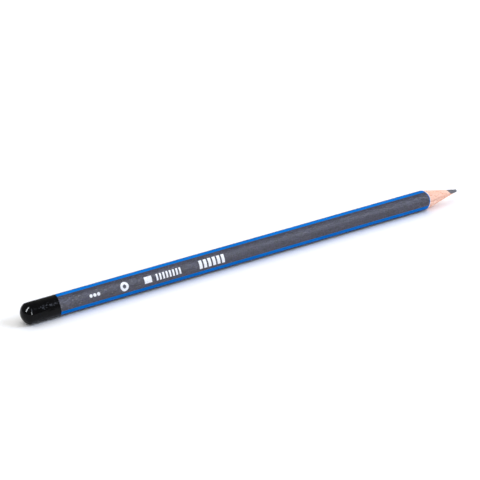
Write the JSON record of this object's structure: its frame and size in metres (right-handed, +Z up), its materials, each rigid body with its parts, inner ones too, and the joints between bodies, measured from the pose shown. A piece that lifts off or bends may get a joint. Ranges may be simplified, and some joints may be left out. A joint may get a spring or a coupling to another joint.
{
  "type": "graphite pencil",
  "caption": "Sharpened wooden graphite pencil with a soft-triangular painted barrel, striped corners and a dipped, rounded end, for writing and drawing.",
  "frame": {"origin": "middle of the overall length, on the surface that the pencil lies on, straight below its axis", "axes": "+X along the pencil towards the sharpened point, +Z up, towards the corner opposite the face it lies on, +Y to the left of someone who looks along +X"},
  "size_m": [0.175, 0.0069, 0.0069],
  "materials": {
    "graphite": "satin",
    "pencil_wood": "matt",
    "glue": "matt",
    "primer": "matt",
    "blue_lacquer": "gloss",
    "grey_texture_coat": "metallic satin, fine wrinkle texture",
    "black_dip": "gloss",
    "white_foil": "satin"
  },
  "bodies": {
    "root": {"graphite_core": "graphite", "wood_slat_upper": "pencil_wood", "wood_slat_lower": "pencil_wood", "glue_film": "glue", "primer_coat": "primer", "base_lacquer": "blue_lacquer", "face_panel_front": "grey_texture_coat", "face_panel_back": "grey_texture_coat", "face_panel_bottom": "grey_texture_coat", "end_dip_cap": "black_dip", "foil_bold_bars": "white_foil", "foil_fine_bars": "white_foil", "foil_grade_mark": "white_foil", "foil_ring": "white_foil", "foil_dots": "white_foil"}
  },
  "joints": []
}
